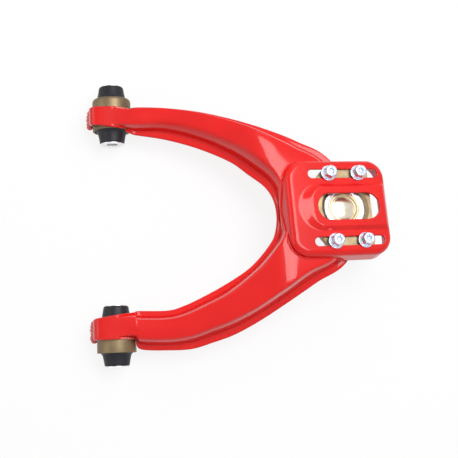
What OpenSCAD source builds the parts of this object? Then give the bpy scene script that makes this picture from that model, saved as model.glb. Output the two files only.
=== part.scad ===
// Adjustable upper control arm: a pressed-steel A-arm on two rubber bushes, with a ball joint on a
// carrier that slides under a slotted housing. +X runs from the bush axis to the ball joint, +Y along
// the bush axis to the front bush, +Z up. The origin is on the bush axis, midway between the bushes.

/* [Layout] */
// Distance between the middles of the two bushes, along their axis
bush_spacing = 208; // [180:1:250]
// Distance from the bush axis to the middle of the slotted face
reach = 211; // [185:1:255]
// Sideways place of the slotted face's middle
plate_side = 4; // [-6:0.5:10]
// Height of the slotted face's middle above the bush axis
face_rise = 50; // [46:0.5:60]
// Lean of the slotted face outwards
plate_pitch = 10.5; // [6:0.5:14]
// Lean of the slotted face forwards
plate_roll = 5; // [0:0.5:8]
// Turn of the slots in the plane of the face
plate_yaw = 2.5; // [0:0.5:5]

/* [Pressing] */
// Thickness of the pressed sheet
sheet_t = 3; // [2:0.25:4]
// Level of the lips near the bushes
lip_level = 6; // [2:0.5:8]
// Depth of the crown below the slotted face
crown_drop = 9; // [7:0.5:11]
// Rise of the crown's middle above its edges
crown_dome = 1; // [0:0.25:2]
// How far the tongues wrap round the bush shells, in degrees past the top
tongue_wrap = 105; // [90:1:120]

/* [Bushes] */
// Length of a bush over its inner sleeve
bush_l = 56; // [48:1:64]
// Length of the outer shell
shell_l = 31; // [26:0.5:36]
// Outside radius of the outer shell
shell_r = 18; // [15:0.5:20]
// Wall of the outer shell
shell_wall = 2; // [1.5:0.25:3]
// Rounding of the shell's outer front edge
shell_round = 2.5; // [1:0.25:4]
// How far the rubber steps in from the shell where it leaves it
rubber_inset = 2.5; // [1:0.25:3]
// Radius of the rubber and of the sleeve's collar at the bush's ends
rubber_tip_r = 11.5; // [10.5:0.25:12]
// Outside radius of the inner sleeve
sleeve_r = 8.5; // [7.5:0.25:9.5]
// Radius of the bolt bore in the inner sleeve
sleeve_bore_r = 5.25; // [4.25:0.05:6.25]
// Thickness of the collar at each end of the inner sleeve
collar_t = 1.8; // [1:0.1:3]

/* [Housing] */
// Length of the housing along its slots
box_l = 98; // [90:0.5:120]
// Width of the housing across its slots
box_w = 89; // [87:0.5:108]
// How far the housing's middle lies behind the slots' middle
box_back = 7; // [5:0.5:9]
// Depth of the housing below its face
box_h = 20; // [17:0.5:24]
// Radius of the housing's corners seen from above
box_corner = 17; // [12:0.5:22]
// Rounding between the face and the walls
box_round = 6; // [4:0.5:8]
// How far the walls spread from the rounding down to the rim
box_draft = 1.5; // [0:0.25:3]
// Thickness of the housing's sheet
box_t = 3; // [2:0.25:3.5]
// Length of each bolt slot
slot_l = 68; // [60:0.5:76]
// Width of each bolt slot
slot_w = 8; // [6.5:0.25:9]
// Length of the window over the ball joint
window_l = 60; // [50:0.5:64]
// Width of the window over the ball joint
window_w = 24.5; // [20:0.5:28]
// Height of the ridge round the window
ridge_h = 3; // [1:0.25:4]
// Half width of the ridge at its foot
ridge_r = 21.5; // [18:0.5:23]
// Width of the ridge's slope
ridge_slope = 3; // [1:0.25:5]

/* [Carrier] */
// Thickness of the carrier plate
carrier_t = 6.5; // [5:0.25:8]
// Half width of the carrier across the slots
carrier_half = 37.5; // [36.5:0.25:38]
// Distance from the ball joint to the carrier's straight edge
carrier_front = 26; // [23:0.25:26.5]
// Distance from the ball joint to the carrier's rounded edge
carrier_rear = 34; // [32:0.5:35]
// Radius of the carrier's rounded edge
carrier_arc_r = 48; // [45:1:60]
// Radius of the carrier's two corners at its straight edge
carrier_corner = 6; // [5.5:0.25:9]
// Distance between bolts along the slots
bolt_pitch = 29; // [26:0.5:34]
// Distance between the two slots
slot_gap = 63; // [60:0.5:64]
// Radius of the bolts' shanks
bolt_r = 3; // [2.5:0.25:3]
// Radius of the bolts' flanges and washers
flange_r = 7.1; // [6.5:0.1:7.5]
// Across-flats size of the bolts' and nuts' hexagons
hex_af = 10; // [8:0.5:11]

/* [Ball joint] */
// Radius of the ball joint body's rim
rim_r = 20; // [19:0.25:21]
// Radius of the body below its rim
body_r = 17; // [16.5:0.25:18]
// Radius of the ball
ball_r = 12.5; // [11.5:0.25:13]
// Depth of the ball's middle below the slotted face
ball_depth = 21; // [20.5:0.25:23]
// Radius of the stud's neck
neck_r = 5.25; // [4.5:0.25:5.5]
// Large radius of the stud's taper
taper_r = 7.4; // [6.5:0.1:8]
// Length of the stud's taper
taper_l = 14; // [10:0.5:16]
// Radius of the stud's thread
thread_r = 5; // [4:0.25:5.5]
// Length of the stud from the ball's middle to its end
stud_l = 47; // [44:0.5:49]
// Largest lean of the stud to any side, in degrees
stud_lean = 25; // [15:1:25]

/* [Hidden] */

fine = 96;                // segments on large rounds
small = 48;               // segments on small rounds
eps = 0.02;               // gap between flat faces that touch
weld_gap = 0.05;          // gap that a weld bridges
run_gap = 0.05;           // radial gap of a turning fit
bolt_gap = 0.2;           // radial gap of a bolt in its plate
cut = 1;                  // how far a cutting tool runs past a face

// Plan outline of the pressing, one station per row from the front bush round the apex to the rear
// bush: outer lip edge x, y, inner lip edge x, y, then the run of the outer and of the inner flange
// from lip edge to crown. It is drawn for the sizes below and stretched to the real ones.
drawn_reach = 211;
drawn_spacing = 208;
drawn_box = 98;
drawn_apex = 154;         // x of the housing's rear wall in the drawn outline
drawn_tip = 236;          // x of the outline's front end
STATIONS = [
    [0, 107.5, 0, 90, 2, 2],
    [22, 110, 20, 85.5, 4, 6],
    [52, 108.5, 50, 79.5, 4, 12],
    [84, 103.5, 80, 69.5, 6, 13],
    [118, 94, 109, 55, 9, 12],
    [147, 83, 126, 41, 11.5, 12.5],
    [173, 70.5, 140.5, 28, 12, 11],
    [203, 52, 148, 14, 12, 8],
    [236, 2, 150, -2, 10, 7],
    [213, -43, 147.5, -18, 12, 6],
    [185, -61, 142, -28, 13, 5],
    [160, -77, 132, -40, 12, 5],
    [132, -94, 120, -50.5, 12, 6],
    [108, -106, 100, -62.5, 12.5, 9],
    [88, -112.5, 80, -72.5, 12, 8.5],
    [69, -117.5, 63.5, -79.5, 11, 8.5],
    [48, -118, 48, -83.5, 9, 8],
    [20, -116.5, 20, -83, 8.5, 8],
    [0, -106.5, 0, -86.5, 2, 2]
];
steps = 4;                // rings between two stations
wrap_rings = 8;           // rings round each tongue
tongue_taper = 6;         // how far a tongue's inner edge runs in on its way round
skirt_run = 22;           // distance from the bush axis at which the flanges reach full depth
lip_rise_out = 0.0006;    // climb of the outer lip with the square of x
lip_rise_in = 0.0012;     // climb of the inner lip with the square of x
crown_rise = 0.0016;      // climb of the crown with the square of x
lip_drop = 23;            // least depth of the lips below the slotted face
blend_r = 8;              // size of the blend between two height laws
saddle_under = 0.5;       // how far the tongue is drawn into the shell before it is bored out

bush_y = bush_spacing/2;
saddle_r = shell_r + weld_gap;
tongue_top = shell_r + sheet_t;
apex_x = drawn_apex + reach - drawn_reach - (box_l - drawn_box)/2;
apex_grow = 1 + (box_l - drawn_box)/(drawn_tip - drawn_apex);
inner_step = 0.15;        // least distance between two points of the sheet's under skin
rubber_root_r = shell_r - shell_wall - rubber_inset;

// Height laws of the pressing
normal = [sin(plate_pitch), cos(plate_pitch)*sin(plate_roll), cos(plate_pitch)*cos(plate_roll)];
function face_z(p) = face_rise - (normal[0]*(p[0] - reach) + normal[1]*(p[1] - plate_side))/normal[2];
function blend_min(a, b) = let(t = max(blend_r - abs(a - b), 0)/blend_r) min(a, b) - t*t*blend_r/4;
function crown_z(p) = blend_min(tongue_top + crown_rise*p[0]*p[0], face_z(p) - crown_drop);
function skirt(x) = let(t = min(max(x/skirt_run, 0), 1)) t*t*(3 - 2*t);
function lip_z(p, rise) = let(c = crown_z(p), l = blend_min(lip_level + rise*p[0]*p[0], face_z(p) - lip_drop))
    c + (l - c)*skirt(p[0]);

// A station's plan point, stretched to the real reach, spacing and housing
function place(x, y) = let(k = apex_x/drawn_apex, far = min(x/drawn_apex, 1))
    [x < drawn_apex ? x*k : apex_x + (x - drawn_apex)*apex_grow,
     y + sign(y)*(bush_y - drawn_spacing/2)*(1 - far)];
function spline(a, b, c, d, t) = 0.5*((2*b) + (c - a)*t + (2*a - 5*b + 4*c - d)*t*t + (3*b - a - 3*c + d)*t*t*t);
function station(i) = STATIONS[min(max(i, 0), len(STATIONS) - 1)];
function along(s) = let(i = floor(s)) spline(station(i - 1), station(i), station(i + 1), station(i + 2), s - i);

// Cross-section of the top skin as [distance along the rib, height share, level law], for a rib of
// length w with flanges fo and fi: lip, fillet, kink, shoulder, domed crown and back down
function side(f) = [[0, 0], [0.42*f, 0], [0.58*f, 0.14], [0.74*f, 0.6], [0.86*f, 0.82], [f, 0.98]];
function skin(o, n, w, fo, fi) = [
    for (q = side(fo)) let(p = o + n*q[0], l = lip_z(o, lip_rise_out)) [q[0], l + (crown_z(p) - l)*q[1]],
    for (k = [0.25, 0.5, 0.75]) let(d = fo + (w - fo - fi)*k, p = o + n*d)
        [d, crown_z(p) + crown_dome*4*k*(1 - k)*skirt(p[0])],
    for (j = [5:-1:0]) let(q = side(fi)[j], d = w - q[0], p = o + n*d, l = lip_z(o + n*w, lip_rise_in))
        [d, l + (crown_z(p) - l)*q[1]]
];
function unit(v) = v/norm(v);
function left(v) = [-v[1], v[0]];
// Each point of a section moved square to the sheet by t
function edge(c, i) = let(k = min(max(i, 0), len(c) - 2)) unit(c[k + 1] - c[k]);
function shifted(c, t) = [for (i = [0:len(c) - 1])
    let(a = edge(c, i), b = edge(c, i - 1), m = unit(left(a) + left(b))) c[i] - m*t/max(m*left(b), 0.6)];
// The moved points kept in order where a bend is tighter than the sheet is thick
function ordered(c, u, i, out) = i == len(c) ? out : let(e = edge(c, i - 1), last_point = out[i - 1])
    ordered(c, u, i + 1, concat(out, [(u[i] - last_point)*e < inner_step ? last_point + e*inner_step : u[i]]));
function closed(c, t) = let(v = shifted(c, t), u = ordered(c, v, 1, [v[0]])) concat(c, [for (i = [len(u) - 1:-1:0]) u[i]]);
function lifted(o, n, c) = [for (q = c) [o[0] + n[0]*q[0], o[1] + n[1]*q[0], q[1]]];
function ring(s) = let(r = along(s), o = place(r[0], r[1]), e = place(r[2], r[3]), w = norm(e - o), n = (e - o)/w)
    lifted(o, n, closed(skin(o, n, w, r[4], r[5]), sheet_t));
// A tongue's ring at an angle past the top: the flat first ring turned about the bush axis
function tongue(i, a) = let(r = STATIONS[i], o = place(r[0], r[1]), e = place(r[2], r[3]),
        run_in = tongue_taper*a/tongue_wrap, w = norm(e - o) - run_in, n = unit(e - o))
    [for (q = lifted(o, n, closed(skin(o, n, w, r[4], r[5]), sheet_t + saddle_under)))
        [q[0]*cos(a) - q[2]*sin(a), q[1], q[0]*sin(a) + q[2]*cos(a)]];

last = len(STATIONS) - 1;
RINGS = concat(
    [for (k = [wrap_rings:-1:1]) tongue(0, tongue_wrap*k/wrap_rings)],
    [for (k = [0:last*steps]) ring(k/steps)],
    [for (k = [1:wrap_rings]) tongue(last, tongue_wrap*k/wrap_rings)]);

// Skins a list of equal rings into a closed solid; strip caps suit a ring that is a folded sheet
module loft(rings) {
    n = len(rings[0]);
    m = len(rings);
    half = n/2;
    walls = [for (i = [0:m - 2], j = [0:n - 1]) let(k = (j + 1) % n)
        each [[i*n + j, i*n + k, (i + 1)*n + k], [i*n + j, (i + 1)*n + k, (i + 1)*n + j]]];
    first_cap = [for (j = [0:half - 2]) each [[j, n - 2 - j, j + 1], [j, n - 1 - j, n - 2 - j]]];
    last_cap = [for (f = first_cap) [for (k = [2:-1:0]) f[k] + (m - 1)*n]];
    faces = concat(walls, first_cap, last_cap);
    polyhedron([for (r = rings) each r], faces);
}

// The slotted face's own frame: origin at the slots' middle on the face, slots along X
module on_plate() {
    translate([reach, plate_side, face_rise])
        rotate([-plate_roll, 0, 0])
            rotate([0, plate_pitch, 0])
                rotate([0, 0, plate_yaw])
                    children();
}

// Rounded rectangle of the housing, drawn in by inset
function box_outline(inset, h) = let(c = box_corner - inset)
    [for (q = [0:3], k = [0:7]) let(a = 90*q + 90*k/7, sx = (q == 0 || q == 3) ? 1 : -1, sy = q < 2 ? 1 : -1)
        [sx*(box_l/2 - box_corner) - box_back + c*cos(a), sy*(box_w/2 - box_corner) + c*sin(a), h]];
function draft_at(h) = box_draft*min(0, h + box_round)/(box_h - box_round);
// A solid tray: grow swells it, top and foot are the levels where it starts and ends
module tray(grow, round_r, top, foot) {
    bend = top - round_r;
    rings = concat([box_outline(draft_at(foot) - grow, foot), box_outline(draft_at(bend) - grow, bend)],
        [for (a = [15:15:90]) box_outline(round_r*(1 - cos(a)) - grow, bend + round_r*sin(a))]);
    n = len(rings[0]);
    m = len(rings);
    walls = [for (i = [0:m - 2], j = [0:n - 1]) let(k = (j + 1) % n)
        each [[i*n + j, (i + 1)*n + k, i*n + k], [i*n + j, (i + 1)*n + j, (i + 1)*n + k]]];
    polyhedron([for (r = rings) each r],
        concat(walls, [[for (j = [0:n - 1]) j]], [[for (j = [n - 1:-1:0]) (m - 1)*n + j]]));
}
module obround(l, w) {
    square([l - w, w], center = true);
    for (s = [-1, 1])
        translate([s*(l - w)/2, 0]) circle(w/2, $fn = small);
}
// The ridge's solid, drawn in by inset: round at the rear, sloping down at the front edge
module ridge(inset, foot) {
    front = box_l/2 - box_back - 1.5 - inset;
    module step(r, x_end, h) {
        translate([0, 0, h]) linear_extrude(0.01) union() {
            translate([ridge_r - 45, 0]) circle(r, $fn = small);
            translate([ridge_r - 45, -r]) square([x_end + 45 - ridge_r, 2*r]);
        }
    }
    hull() {
        step(ridge_r - inset, front, foot);
        step(ridge_r - ridge_slope - inset, front - 1.5*ridge_slope, ridge_h - inset);
    }
}

module arm_pressing() {
    color("red") difference() {
        loft(RINGS);
        for (s = [-1, 1])
            translate([0, s*bush_y, 0]) rotate([90, 0, 0])
                cylinder(r = saddle_r, h = shell_l + 2*cut, center = true, $fn = fine);
        on_plate() {
            tray(weld_gap, box_round, 3*cut, -box_h - weld_gap);
            translate([0, 0, -3*box_h]) linear_extrude(3*box_h)
                polygon([for (p = box_outline(box_t, 0)) [p[0], p[1]]]);
        }
    }
}

module slider_housing() {
    color("red") on_plate() difference() {
        union() {
            tray(0, box_round, 0, -box_h);
            ridge(0, -box_t/2);
        }
        tray(-box_t, box_round - box_t, -box_t, -box_h - cut);
        ridge(box_t*0.8, -box_t - cut);
        for (s = [-1, 1])
            translate([0, s*slot_gap/2, -box_h/2]) linear_extrude(box_h) obround(slot_l, slot_w);
        translate([1.5, 0, -box_h/2]) linear_extrude(box_h) obround(window_l, window_w);
    }
}

// Bush pieces, along Y with the bush's middle at the origin
module turned(points) {
    rotate([-90, 0, 0]) rotate_extrude($fn = fine) polygon(points);
}
module bush_shell(s) {
    half = shell_l/2;
    inner = shell_r - shell_wall;
    color("olive") translate([0, s*bush_y, 0]) turned([[inner, -half], [shell_r, -half],
        [shell_r, half - shell_round], [shell_r - 0.3*shell_round, half - 0.3*shell_round],
        [shell_r - shell_round, half], [inner - 0.5, half], [inner, half - 1]]);
}
module bush_rubber(s) {
    half = shell_l/2;
    inner = shell_r - shell_wall - weld_gap;
    tip = bush_l/2 - collar_t - run_gap;
    core = sleeve_r + run_gap;
    color([0.13, 0.12, 0.16]) translate([0, s*bush_y, 0]) turned([[core, -tip], [rubber_tip_r - 0.6, -tip],
        [rubber_tip_r, 0.8 - tip], [rubber_root_r, -half - 1], [rubber_root_r, 1 - half],
        [inner, 2 - half], [inner, half - 2], [rubber_root_r, half - 1.5], [rubber_root_r, half + 1],
        [rubber_tip_r, tip - 0.8], [rubber_tip_r - 0.6, tip], [core, tip]]);
}
module bush_sleeve(s) {
    half = bush_l/2;
    inner = half - collar_t;
    color("silver") translate([0, s*bush_y, 0]) turned([[sleeve_bore_r, -half], [rubber_tip_r - 0.3, -half],
        [rubber_tip_r, 0.3 - half], [rubber_tip_r, -inner], [sleeve_r, -inner], [sleeve_r, inner],
        [rubber_tip_r, inner], [rubber_tip_r, half - 0.3], [rubber_tip_r - 0.3, half], [sleeve_bore_r, half]]);
}
// Bead across the tongue's end, and a seam along its outer edge round the shell
module bush_weld(s, i) {
    bead_r = 2.6;
    blobs = 5;
    outer = place(STATIONS[i][0], STATIONS[i][1])[1];
    inner = place(STATIONS[i][2], STATIONS[i][3])[1] + s*tongue_taper;
    seam_r = 1.2;
    color("red") {
        for (k = [0:blobs - 1]) {
            y = inner + (outer - inner)*(k + 0.5)/blobs;
            rotate([0, -tongue_wrap - 3, 0]) translate([(k % 2)*1.5, y, tongue_top])
                sphere(bead_r + 0.4*(k % 2), $fn = 32);
        }
        translate([0, outer, 0]) rotate([90, 0, 0]) rotate_extrude(angle = tongue_wrap + 60, start = 30, $fn = fine)
            translate([shell_r + 0.6, 0]) circle(seam_r, $fn = 16);
    }
}

// A round bead laid along the foot of the housing's walls where they stand on the crown
function bead_path(side) = let(far = box_outline(0, 0))
    [for (k = [0:9]) let(t = k/9) side > 0
        ? (k < 2 ? [-box_back - 6 - 14*k, box_w/2, 0] : far[min(8 + k - 2, 15)])
        : (k < 2 ? [-box_back - 6 - 14*k, -box_w/2, 0] : far[max(23 - k + 2, 16)])];
module bead(path, h, r) {
    sides = 10;
    n = len(path);
    rings = [for (i = [0:n - 1]) let(d = unit(path[min(i + 1, n - 1)] - path[max(i - 1, 0)]))
        [for (k = [0:sides - 1]) let(a = 360*k/sides)
            [path[i][0] - d[1]*r*cos(a), path[i][1] + d[0]*r*cos(a), h + r*sin(a)]]];
    m = len(rings);
    walls = [for (i = [0:m - 2], j = [0:sides - 1]) let(k = (j + 1) % sides)
        each [[i*sides + j, i*sides + k, (i + 1)*sides + k], [i*sides + j, (i + 1)*sides + k, (i + 1)*sides + j]]];
    polyhedron([for (q = rings) each q], concat(walls, [[for (j = [sides - 1:-1:0]) j]],
        [[for (j = [0:sides - 1]) (m - 1)*sides + j]]));
}
module housing_weld() {
    bead_r = 1.8;
    color("red") on_plate() {
        bead(bead_path(1), -crown_drop, bead_r);
        bead(bead_path(-1), -crown_drop, bead_r);
    }
}

// Levels in the plate's frame, downwards from the face
carrier_top = -box_t - eps;
carrier_foot = carrier_top - carrier_t;
rim_top = carrier_top - 1.4;
rim_foot = rim_top - 2.8;
recess = 3;               // run of the cone round the rim
press_gap = 0.02;         // radial gap of a press fit, drawn just clear
ring_t = 1.3;             // thickness of the retaining ring
ring_top = carrier_foot - eps;
body_step = ring_top - ring_t - 2.5;
mouth_drop = 7.6;         // depth of the socket's mouth below the ball's middle
mouth_lip = 1.8;          // thickness of the lip that holds the lower seat
mouth = -ball_depth - mouth_drop;
boot_seat_r = body_r - 1.5;
seat_r = 14.5;            // outside radius of the polymer seats, and of the parts above them
seat_top = rim_top - 4.6;
seat_split = 0.2 - ball_depth;
ball_gap = 0.03;          // radial gap between ball and seats
boot_wall = 1.6;
boot_top = body_step - 1.2;
boot_neck_top = -ball_depth - 12.2;
boot_neck_foot = -ball_depth - 15.2;
boot_neck_r = neck_r + 0.25;

module bolt_places() {
    for (x = [-1, 1], y = [-1, 1])
        translate([x*bolt_pitch/2, y*slot_gap/2, 0]) children();
}
module joint_carrier() {
    bevel = 0.8;
    module outline(inset) {
        r = carrier_corner - inset;
        intersection() {
            translate([carrier_arc_r - carrier_rear, 0]) circle(carrier_arc_r - inset, $fn = fine);
            union() {
                translate([-carrier_rear, inset - carrier_half])
                    square([carrier_front + carrier_rear - carrier_corner, 2*(carrier_half - inset)]);
                translate([-carrier_rear, carrier_corner - carrier_half])
                    square([carrier_front + carrier_rear - inset, 2*(carrier_half - carrier_corner)]);
                for (s = [-1, 1])
                    translate([carrier_front - carrier_corner, s*(carrier_half - carrier_corner)])
                        circle(r, $fn = small);
            }
        }
    }
    color([0.62, 0.55, 0.38]) on_plate() difference() {
        union() {
            translate([0, 0, carrier_foot]) linear_extrude(carrier_t - bevel) outline(0);
            translate([0, 0, carrier_foot]) linear_extrude(carrier_t) outline(bevel);
        }
        bolt_places() translate([0, 0, carrier_foot - cut])
            cylinder(r = bolt_r + bolt_gap, h = carrier_t + 2*cut, $fn = small);
        translate([0, 0, carrier_foot - cut])
            cylinder(r = body_r + press_gap, h = carrier_t + 2*cut, $fn = fine);
        translate([0, 0, rim_foot - eps]) cylinder(r = rim_r + press_gap, h = 4*cut, $fn = fine);
        translate([0, 0, rim_foot + 0.4])
            cylinder(r1 = rim_r, r2 = rim_r + recess + 0.1, h = carrier_top - rim_foot - 0.3, $fn = fine);
    }
}
module joint_part(points) {
    on_plate() rotate_extrude($fn = fine) polygon(points);
}
module joint_housing() {
    bore = seat_r + press_gap;
    ball_at_lip = sqrt(pow(ball_r, 2) - pow(mouth_drop - mouth_lip, 2));
    neck_at_mouth = mouth_drop*tan(stud_lean) + neck_r/cos(stud_lean);
    mouth_r = max(ball_at_lip + 0.3, neck_at_mouth + 0.5);
    groove_r = body_r - 0.8;
    groove_foot = ring_top - ring_t - 2*eps;
    color("silver") joint_part([[bore, rim_top - 0.6], [seat_r + 1.2, rim_top - 0.6], [seat_r + 1.8, rim_top],
        [rim_r - 0.8, rim_top], [rim_r, rim_top - 0.8], [rim_r, rim_foot], [body_r, rim_foot],
        [body_r, ring_top], [groove_r, ring_top], [groove_r, groove_foot], [body_r, groove_foot],
        [body_r, body_step], [boot_seat_r, body_step - 1], [boot_seat_r, mouth], [mouth_r + 1, mouth],
        [mouth_r, mouth + 1], [mouth_r, mouth + mouth_lip], [bore, mouth + mouth_lip]]);
}
module cap_ring() {
    color([0.85, 0.72, 0.45]) joint_part([[seat_r - 3.6, rim_top - 1.2], [seat_r - 3, rim_top - 0.4],
        [seat_r - 0.6, rim_top - 0.4], [seat_r, rim_top - 1], [seat_r, rim_top - 1.9], [seat_r - 3.6, rim_top - 1.9]]);
}
module joint_cap() {
    top = rim_top - 1.9 - eps;
    color([0.8, 0.76, 0.68]) joint_part([[0, top - 0.1], [5, top - 0.2], [9, top - 0.5], [10.2, top - 0.8],
        [10.9, top], [seat_r, top], [seat_r, top - 1], [10.9, top - 1], [10.2, top - 1.6], [9, top - 1.5],
        [5, top - 1.2], [0, top - 1.1]]);
}
module preload_spring() {
    top = rim_top - 2.9 - 2*eps;
    color("gray") joint_part([[11.2, top - 0.7], [seat_r - 0.3, top], [seat_r - 0.3, top - 0.6],
        [11.2, top - 1.3]]);
}
module race_half(top, foot, throat) {
    color("ivory") on_plate() difference() {
        translate([0, 0, foot]) cylinder(r = seat_r - press_gap, h = top - foot, $fn = fine);
        translate([0, 0, -ball_depth]) sphere(ball_r + ball_gap, $fn = fine);
        translate([0, 0, foot - cut]) cylinder(r = throat, h = top - foot + 2*cut, $fn = fine);
    }
}
module upper_race() { race_half(seat_top, seat_split, 7.5); }
module lower_race() { race_half(seat_split - eps, mouth + mouth_lip + eps, 0.8*ball_r); }

// Stud levels, downwards from the ball's middle
taper_top = 20;           // where the taper starts
nut_t = 8;
pin_r = 1.4;
pin_place = 42.2;         // where the split pin crosses
module ball_stud() {
    flat = 9.5;
    join = sqrt(ball_r*ball_r - neck_r*neck_r);
    tip = taper_top + taper_l;
    small_r = taper_r - taper_l/16;
    color("lightgray") on_plate() translate([0, 0, -ball_depth]) difference() {
        union() {
            difference() {
                sphere(ball_r, $fn = fine);
                translate([0, 0, flat]) cylinder(r = ball_r, h = ball_r, $fn = fine);
            }
            rotate_extrude($fn = fine) polygon([[0, 2 - join], [neck_r, 2 - join], [neck_r, 4.4 - taper_top],
                [taper_r, 1.8 - taper_top], [taper_r, -taper_top], [small_r, -tip], [thread_r, -tip - 1],
                [thread_r, 1 - stud_l], [thread_r - 1, -stud_l], [0, -stud_l]]);
        }
        translate([0, 0, -pin_place]) rotate([0, 90, 0])
            cylinder(r = pin_r + 0.1, h = 4*thread_r, center = true, $fn = small);
    }
}
module dust_boot() {
    seat = boot_seat_r + weld_gap;
    lip_r = seat + boot_wall;
    neck = boot_neck_r + boot_wall;
    groove = 0.6;
    color([0.1, 0.1, 0.11]) joint_part([[seat, boot_top], [lip_r, boot_top], [lip_r, boot_top - 1],
        [lip_r - groove, boot_top - 1.4], [lip_r - groove, boot_top - 2.8], [lip_r, boot_top - 3.2],
        [19.5, boot_top - 6], [20, boot_top - 8.5], [17.6, mouth - 2.2], [12, boot_neck_top + 0.6],
        [neck + 1.4, boot_neck_top], [neck, boot_neck_top - 0.4], [neck, boot_neck_foot],
        [boot_neck_r, boot_neck_foot], [boot_neck_r, boot_neck_top + 0.5], [12, boot_neck_top + 1.9],
        [16.2, mouth - 0.9], [18.2, boot_top - 8.4], [17.8, boot_top - 6.6], [seat, boot_top - 4]]);
}
module boot_clamp_upper() {
    wire_r = 0.65;
    color("silver") on_plate() translate([0, 0, boot_top - 2.1]) rotate_extrude($fn = fine)
        translate([boot_seat_r + 2*weld_gap + boot_wall - 0.6 + wire_r, 0]) circle(wire_r, $fn = 16);
}
module boot_clamp_lower() {
    wire_r = 0.6;
    color("silver") on_plate() translate([0, 0, boot_neck_top - 1.7]) rotate_extrude($fn = fine)
        translate([boot_neck_r + boot_wall + 0.1 + wire_r, 0]) circle(wire_r, $fn = 16);
}
module castle_nut() {
    af = 16;
    top = taper_top + taper_l + 1.1;
    slot_r = pin_r + 0.1;
    color("gold") on_plate() translate([0, 0, -ball_depth - top - nut_t]) difference() {
        union() {
            translate([0, 0, 2.6]) rotate(30) cylinder(d = af/cos(30), h = nut_t - 2.6, $fn = 6);
            cylinder(d = af - 1.6, h = 4, $fn = fine);
        }
        translate([0, 0, -cut]) cylinder(r = thread_r + run_gap, h = nut_t + 2*cut, $fn = fine);
        for (a = [0, 60, 120])
            rotate([0, 0, a]) translate([-af, -slot_r, -cut]) cube([2*af, 2*slot_r, cut + 2.4]);
    }
}
module cotter_pin() {
    run = 9.5;
    color("gainsboro") on_plate() translate([0, 0, -ball_depth - pin_place]) {
        rotate([0, 90, 0]) cylinder(r = pin_r - 0.05, h = 2*run, center = true, $fn = small);
        translate([-run, 0, 0]) sphere(2, $fn = 32);
        translate([run - 0.4, 0, 0]) rotate([0, 20, 0]) cylinder(r = 0.9, h = 5, $fn = 24);
    }
}
module retaining_ring() {
    color("gray") on_plate() translate([0, 0, ring_top - ring_t - eps]) difference() {
        cylinder(r = body_r + 2.2, h = ring_t, $fn = fine);
        translate([0, 0, -cut]) cylinder(r = body_r - 0.75, h = ring_t + 2*cut, $fn = fine);
        translate([body_r - 4, -2, -cut]) cube([10, 4, ring_t + 2*cut]);
    }
}

washer_t = 1.6;
module clamp_bolts() {
    head_h = 6.6;
    flange_t = 1.5;
    shank = 17;
    drive_af = 5;
    color([0.78, 0.82, 0.9]) on_plate() bolt_places() difference() {
        union() {
            translate([0, 0, washer_t + eps]) {
                cylinder(r = flange_r - 0.5, h = flange_t/2, $fn = small);
                translate([0, 0, flange_t/2]) cylinder(r1 = flange_r - 0.5, r2 = hex_af/2, h = flange_t/2, $fn = small);
                cylinder(d = hex_af/cos(30), h = head_h, $fn = 6);
            }
            translate([0, 0, -shank]) cylinder(r = bolt_r, h = shank + washer_t + cut, $fn = small);
        }
        translate([0, 0, washer_t + head_h - 3.5]) cylinder(d = drive_af/cos(30), h = 5, $fn = 6);
    }
}
module bolt_washers() {
    color([0.75, 0.78, 0.85]) on_plate() bolt_places() difference() {
        translate([0, 0, eps/2]) cylinder(r = flange_r, h = washer_t, $fn = small);
        translate([0, 0, -cut]) cylinder(r = bolt_r + bolt_gap, h = washer_t + 2*cut, $fn = small);
    }
}
module clamp_nuts() {
    nut_h = 5.2;
    color([0.75, 0.78, 0.85]) on_plate() bolt_places() translate([0, 0, carrier_foot - eps - nut_h]) difference() {
        cylinder(d = hex_af/cos(30), h = nut_h, $fn = 6);
        translate([0, 0, -cut]) cylinder(r = bolt_r + run_gap, h = nut_h + 2*cut, $fn = small);
    }
}

arm_pressing();
slider_housing();
housing_weld();
bush_weld(1, 0);  // front_bush_weld
bush_weld(-1, last);  // rear_bush_weld
bush_shell(1);  // front_bush_shell
bush_shell(-1);  // rear_bush_shell
bush_rubber(1);  // front_bush_rubber
bush_rubber(-1);  // rear_bush_rubber
bush_sleeve(1);  // front_bush_sleeve
bush_sleeve(-1);  // rear_bush_sleeve
joint_carrier();
joint_housing();
cap_ring();
joint_cap();
clamp_bolts();
bolt_washers();
clamp_nuts();
retaining_ring();
preload_spring();
upper_race();
lower_race();
ball_stud();
dust_boot();
boot_clamp_upper();
boot_clamp_lower();
castle_nut();
cotter_pin();
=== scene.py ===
"""Looks of an adjustable upper control arm: a pressed arm, a slotted housing, bolts, bushes and a ball joint.

Lengths in the code are millimetres; a mesh is written in metres, in the frame of the CAD model: +X runs
from the bush axis to the ball joint, +Y along the bush axis, +Z up.
"""
import math

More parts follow.
